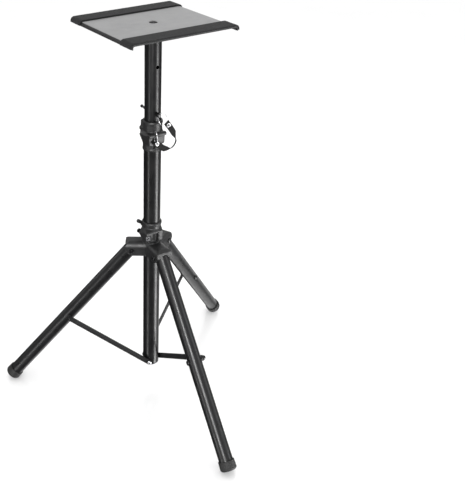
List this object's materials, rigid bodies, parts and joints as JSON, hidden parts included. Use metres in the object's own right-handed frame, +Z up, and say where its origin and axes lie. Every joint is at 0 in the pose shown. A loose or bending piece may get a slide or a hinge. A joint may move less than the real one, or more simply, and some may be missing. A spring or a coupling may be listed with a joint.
{
  "type": "speaker tripod stand",
  "caption": "Folding tripod stand with a telescopic round post, a square grey platform with foam strips, hub with hooded leg hinges, flat braces, rubber feet and a tethered locking pin.",
  "frame": {"origin": "on the floor, at the centre of the bounding box (the post stands 11.2 mm towards -X and 70.7 mm towards +Y of it)", "axes": "+Z up along the post, +X along the platform edge that carries the front foam strip, -Y towards the front foot"},
  "size_m": [0.5964, 0.541, 0.8662],
  "materials": {
    "tube_paint": "satin powder coat",
    "leg_paint": "satin powder coat",
    "plug_plastic": "matt moulded",
    "platform_grey": "matt powder coat",
    "foam": "matt foam",
    "fastener_black": "black oxide",
    "zinc": "bright zinc",
    "casting_plastic": "satin moulded",
    "knob_plastic": "satin moulded",
    "pin_black": "black oxide",
    "webbing": "woven",
    "foot_rubber": "matt rubber",
    "brace_paint": "satin powder coat"
  },
  "bodies": {
    "post": {"centre_post": "tube_paint", "post_end_plug": "plug_plastic", "height_collar": "casting_plastic", "lower_strap_eyelet": "zinc", "tether_ring": "zinc", "tether_strap": "webbing"},
    "pole": {"upper_pole": "tube_paint", "pole_slide_bush": "plug_plastic", "pole_top_plug": "plug_plastic", "platform_plate": "platform_grey", "front_foam_strip": "foam", "rear_foam_strip": "foam", "platform_screw": "fastener_black", "platform_washer": "zinc"},
    "pin": {"locking_pin": "pin_black", "pin_ring": "zinc", "upper_strap_eyelet": "zinc"},
    "collar_knob_body": {"collar_knob": "knob_plastic", "collar_stud": "zinc"},
    "hub": {"tripod_hub": "casting_plastic", "hub_clamp_screw": "fastener_black", "hub_clamp_nut": "zinc", "front_pivot_bolt": "fastener_black", "front_pivot_nut": "fastener_black", "rear_pivot_bolt": "fastener_black", "rear_pivot_nut": "fastener_black", "left_pivot_bolt": "fastener_black", "left_pivot_nut": "fastener_black"},
    "hub_knob_body": {"hub_knob": "knob_plastic", "hub_stud": "zinc"},
    "front_leg": {"front_leg_tube": "leg_paint", "front_leg_plug": "plug_plastic", "front_foot": "foot_rubber", "front_brace_bolt": "fastener_black", "front_brace_spacer": "plug_plastic", "front_brace_nut": "fastener_black"},
    "front_brace_body": {"front_brace": "brace_paint", "front_brace_rivet": "zinc"},
    "rear_leg": {"rear_leg_tube": "leg_paint", "rear_leg_plug": "plug_plastic", "rear_foot": "foot_rubber", "rear_brace_bolt": "fastener_black", "rear_brace_spacer": "plug_plastic", "rear_brace_nut": "fastener_black"},
    "rear_brace_body": {"rear_brace": "brace_paint", "rear_brace_rivet": "zinc"},
    "left_leg": {"left_leg_tube": "leg_paint", "left_leg_plug": "plug_plastic", "left_foot": "foot_rubber", "left_brace_bolt": "fastener_black", "left_brace_spacer": "plug_plastic", "left_brace_nut": "fastener_black"},
    "left_brace_body": {"left_brace": "brace_paint", "left_brace_rivet": "zinc"}
  },
  "joints": [
    {"name": "pole_slide", "type": "slide", "parent": "post", "child": "pole", "axis": [0, 0, 1], "range_m": [0, 0.47]},
    {"name": "pin_pull", "type": "slide", "parent": "post", "child": "pin", "axis": [0, -1, 0], "range_m": [0, 0.064], "deforming": ["tether_strap"]},
    {"name": "collar_knob_turn", "type": "hinge", "parent": "post", "child": "collar_knob_body", "pos_m": [-0.01124, 0.10871, 0.63337], "axis": [0, 1, 0], "range_deg": [0, 360]},
    {"name": "hub_slide", "type": "slide", "parent": "post", "child": "hub", "axis": [0, 0, 1], "range_m": [0, 0.14512]},
    {"name": "hub_knob_turn", "type": "hinge", "parent": "hub", "child": "hub_knob_body", "pos_m": [-0.00859, 0.10862, 0.40667], "axis": [0.0698, 0.9976, 0], "range_deg": [0, 360]},
    {"name": "front_leg_hinge", "type": "hinge", "parent": "hub", "child": "front_leg", "pos_m": [-0.01422, 0.02812, 0.36617], "axis": [0.9976, -0.0698, 0], "range_deg": [0, 38.9]},
    {"name": "front_brace_hinge", "type": "hinge", "parent": "front_leg", "child": "front_brace_body", "pos_m": [-0.02425, -0.11531, 0.18767], "axis": [0.9976, -0.0698, 0], "range_deg": [-84.8, 0]},
    {"name": "rear_leg_hinge", "type": "hinge", "parent": "hub", "child": "rear_leg", "pos_m": [0.02714, 0.08943, 0.36617], "axis": [-0.4384, 0.8988, 0], "range_deg": [0, 38.9]},
    {"name": "rear_brace_hinge", "type": "hinge", "parent": "rear_leg", "child": "rear_brace_body", "pos_m": [0.15636, 0.15246, 0.18767], "axis": [-0.4384, 0.8988, 0], "range_deg": [-84.8, 0]},
    {"name": "left_leg_hinge", "type": "hinge", "parent": "hub", "child": "left_leg", "pos_m": [-0.04664, 0.09459, 0.36617], "axis": [-0.5592, -0.829, 0], "range_deg": [0, 38.9]},
    {"name": "left_brace_hinge", "type": "hinge", "parent": "left_leg", "child": "left_brace_body", "pos_m": [-0.16583, 0.17499, 0.18767], "axis": [-0.5592, -0.829, 0], "range_deg": [-84.8, 0]}
  ],
  "couplings": [
    {"joint": "front_leg_hinge", "follows": "hub_slide", "rad_per_m": 4.6724},
    {"joint": "front_brace_hinge", "follows": "hub_slide", "rad_per_m": -10.188},
    {"joint": "rear_leg_hinge", "follows": "hub_slide", "rad_per_m": 4.6724},
    {"joint": "rear_brace_hinge", "follows": "hub_slide", "rad_per_m": -10.188},
    {"joint": "left_leg_hinge", "follows": "hub_slide", "rad_per_m": 4.6724},
    {"joint": "left_brace_hinge", "follows": "hub_slide", "rad_per_m": -10.188}
  ]
}
